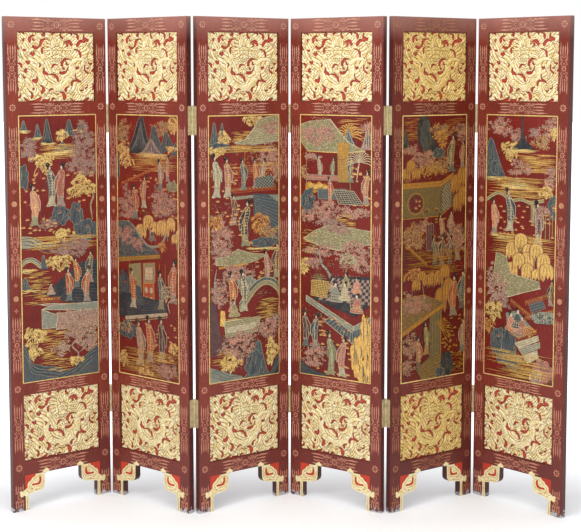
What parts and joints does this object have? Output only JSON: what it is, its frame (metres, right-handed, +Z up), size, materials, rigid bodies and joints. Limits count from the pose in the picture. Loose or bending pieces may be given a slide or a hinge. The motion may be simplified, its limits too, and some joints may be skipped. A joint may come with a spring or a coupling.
{
  "type": "folding screen",
  "caption": "Free-standing Chinese lacquer folding screen with painted garden panels, gilt carved panels and brass hinges between its leaves.",
  "frame": {"origin": "centre of the standing screen's footprint, on the floor", "axes": "+X along the screen, -Y towards the side that its painted fronts face, +Z up"},
  "size_m": [2.0504, 0.3258, 1.83],
  "materials": {
    "red_lacquer": "glossy red-brown lacquer over wood, worn",
    "painted_lacquer": "painted and gilt lacquer, satin",
    "gilt_carving": "carved wood, gilded over a red ground",
    "hinge_brass": "aged brass",
    "screw_brass": "aged brass"
  },
  "bodies": {
    "leaf1": {"leaf1_left_stile": "red_lacquer", "leaf1_right_stile": "red_lacquer", "leaf1_rails": "red_lacquer", "leaf1_scene_panel": "painted_lacquer", "leaf1_carved_panels": "gilt_carving", "leaf1_brackets": "gilt_carving", "leaf1_hinge_screws": "screw_brass", "fold1_left_plates": "hinge_brass", "fold1_pins": "hinge_brass"},
    "leaf2": {"leaf2_left_stile": "red_lacquer", "leaf2_right_stile": "red_lacquer", "leaf2_rails": "red_lacquer", "leaf2_scene_panel": "painted_lacquer", "leaf2_carved_panels": "gilt_carving", "leaf2_brackets": "gilt_carving", "leaf2_hinge_screws": "screw_brass", "fold2_left_plates": "hinge_brass", "fold2_pins": "hinge_brass", "fold1_right_plates": "hinge_brass"},
    "leaf3": {"leaf3_left_stile": "red_lacquer", "leaf3_right_stile": "red_lacquer", "leaf3_rails": "red_lacquer", "leaf3_scene_panel": "painted_lacquer", "leaf3_carved_panels": "gilt_carving", "leaf3_brackets": "gilt_carving", "leaf3_hinge_screws": "screw_brass", "fold3_left_plates": "hinge_brass", "fold3_pins": "hinge_brass", "fold2_right_plates": "hinge_brass"},
    "leaf4": {"leaf4_left_stile": "red_lacquer", "leaf4_right_stile": "red_lacquer", "leaf4_rails": "red_lacquer", "leaf4_scene_panel": "painted_lacquer", "leaf4_carved_panels": "gilt_carving", "leaf4_brackets": "gilt_carving", "leaf4_hinge_screws": "screw_brass", "fold4_left_plates": "hinge_brass", "fold4_pins": "hinge_brass", "fold3_right_plates": "hinge_brass"},
    "leaf5": {"leaf5_left_stile": "red_lacquer", "leaf5_right_stile": "red_lacquer", "leaf5_rails": "red_lacquer", "leaf5_scene_panel": "painted_lacquer", "leaf5_carved_panels": "gilt_carving", "leaf5_brackets": "gilt_carving", "leaf5_hinge_screws": "screw_brass", "fold5_left_plates": "hinge_brass", "fold5_pins": "hinge_brass", "fold4_right_plates": "hinge_brass"},
    "leaf6": {"leaf6_left_stile": "red_lacquer", "leaf6_right_stile": "red_lacquer", "leaf6_rails": "red_lacquer", "leaf6_scene_panel": "painted_lacquer", "leaf6_carved_panels": "gilt_carving", "leaf6_brackets": "gilt_carving", "leaf6_hinge_screws": "screw_brass", "fold5_right_plates": "hinge_brass"}
  },
  "joints": [
    {"name": "fold2_hinge", "type": "hinge", "parent": "leaf3", "child": "leaf2", "pos_m": [-0.33906, -0.09323, 0.9], "axis": [0, 0, -1], "range_deg": [-75.5, 104.5]},
    {"name": "fold1_hinge", "type": "hinge", "parent": "leaf2", "child": "leaf1", "pos_m": [-0.68016, 0.14181, 0.9], "axis": [0, 0, 1], "range_deg": [-76, 104]},
    {"name": "fold3_hinge", "type": "hinge", "parent": "leaf3", "child": "leaf4", "pos_m": [0.01196, 0.12671, 0.9], "axis": [0, 0, -1], "range_deg": [-72, 108]},
    {"name": "fold4_hinge", "type": "hinge", "parent": "leaf4", "child": "leaf5", "pos_m": [0.36678, -0.08707, 0.9], "axis": [0, 0, 1], "range_deg": [-71.5, 108.5]},
    {"name": "fold5_hinge", "type": "hinge", "parent": "leaf5", "child": "leaf6", "pos_m": [0.71971, 0.1298, 0.9], "axis": [0, 0, -1], "range_deg": [-82, 98]}
  ]
}
